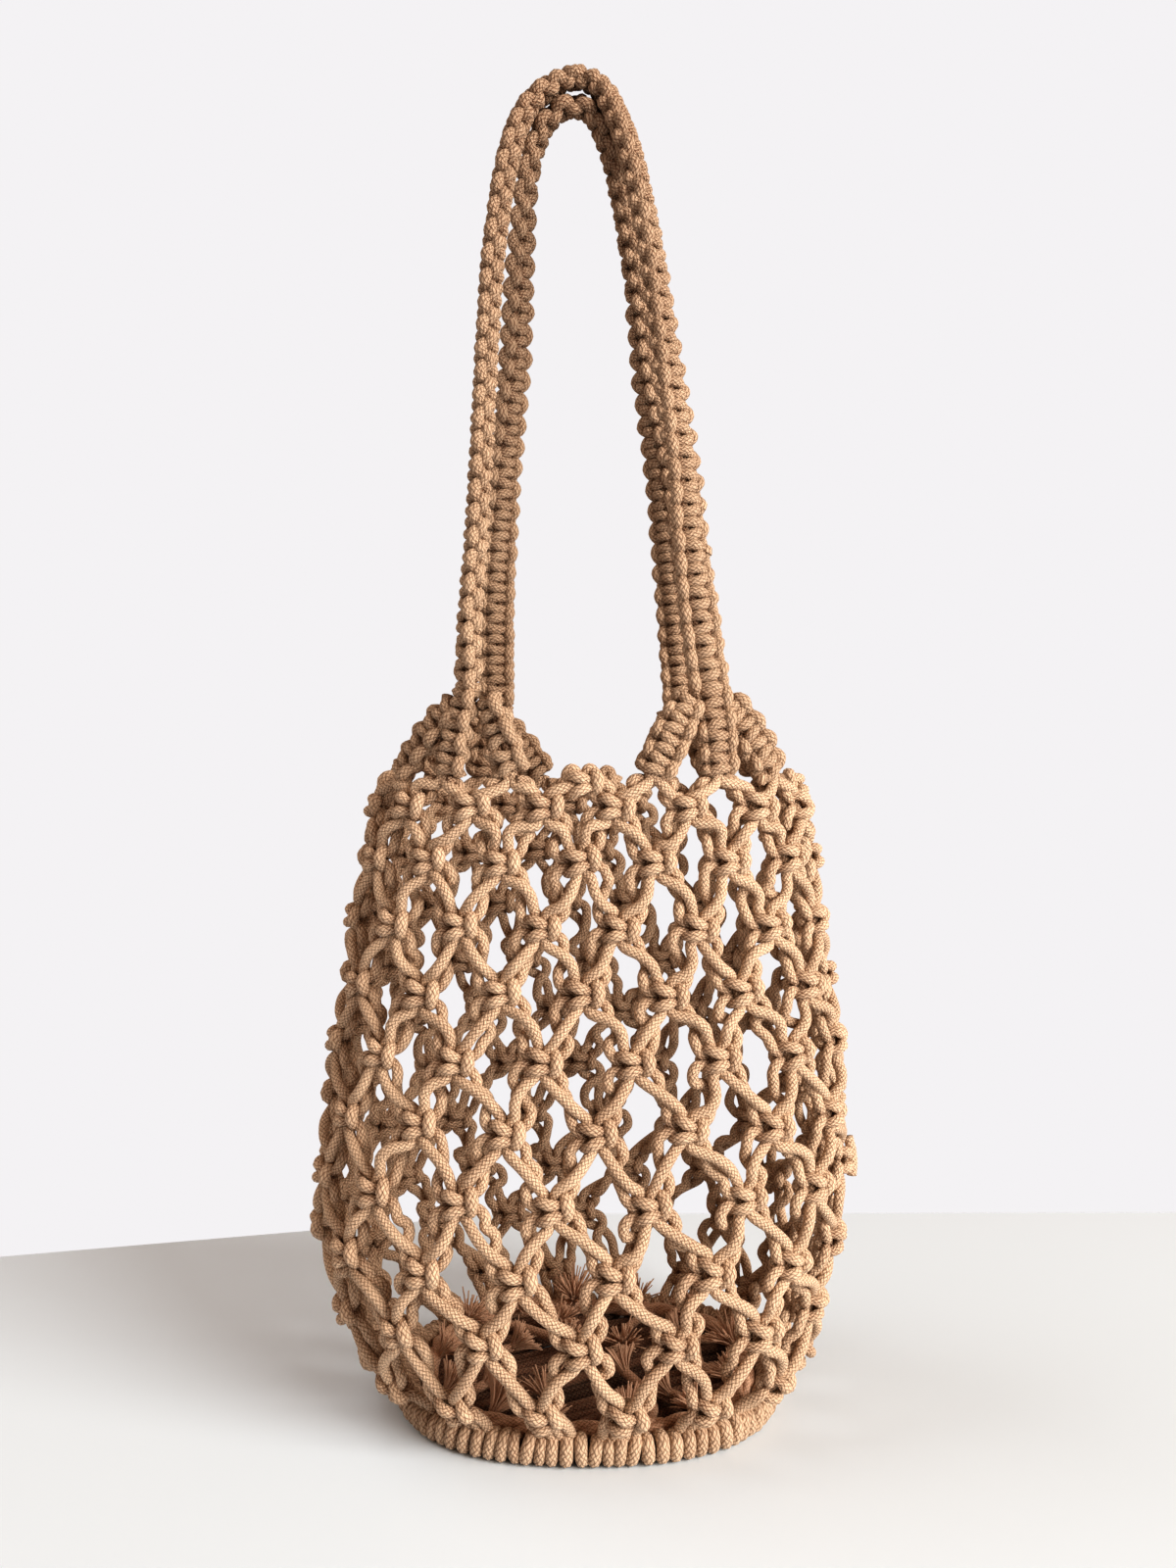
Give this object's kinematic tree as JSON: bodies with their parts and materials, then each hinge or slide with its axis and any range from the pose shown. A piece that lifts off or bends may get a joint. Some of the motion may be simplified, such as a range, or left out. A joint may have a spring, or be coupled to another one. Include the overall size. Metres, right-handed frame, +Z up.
{
  "type": "knotted rope shoulder bag",
  "caption": "Open oval shoulder bag knotted from braided cotton rope: a net body on a wrapped base band, with flat knotted handles standing up from a scalloped rim.",
  "frame": {"origin": "on the resting face, under the middle of the bag's overall box", "axes": "+Z up towards the handles, +X to the right along the wide side, the front faces -Y"},
  "size_m": [0.2425, 0.167, 0.5807],
  "materials": {
    "net_cord": "matte braided cotton rope",
    "handle_cord": "matte braided cotton rope",
    "base_cord": "matte braided cotton rope",
    "frayed_ends": "frayed cotton yarn"
  },
  "bodies": {
    "root": {"net_body": "net_cord", "base_band": "base_cord", "base_floor": "base_cord", "cord_ends": "frayed_ends", "handle_front": "handle_cord", "handle_back": "handle_cord", "rim_strap_front_left_inner": "handle_cord", "rim_strap_front_left_outer": "handle_cord", "rim_strap_front_right_inner": "handle_cord", "rim_strap_front_right_outer": "handle_cord", "rim_strap_back_left_inner": "handle_cord", "rim_strap_back_left_outer": "handle_cord", "rim_strap_back_right_inner": "handle_cord", "rim_strap_back_right_outer": "handle_cord", "rim_knot_front": "net_cord", "rim_knot_right": "net_cord", "rim_knot_back": "net_cord", "rim_knot_left": "net_cord", "side_tail": "net_cord"}
  },
  "joints": []
}
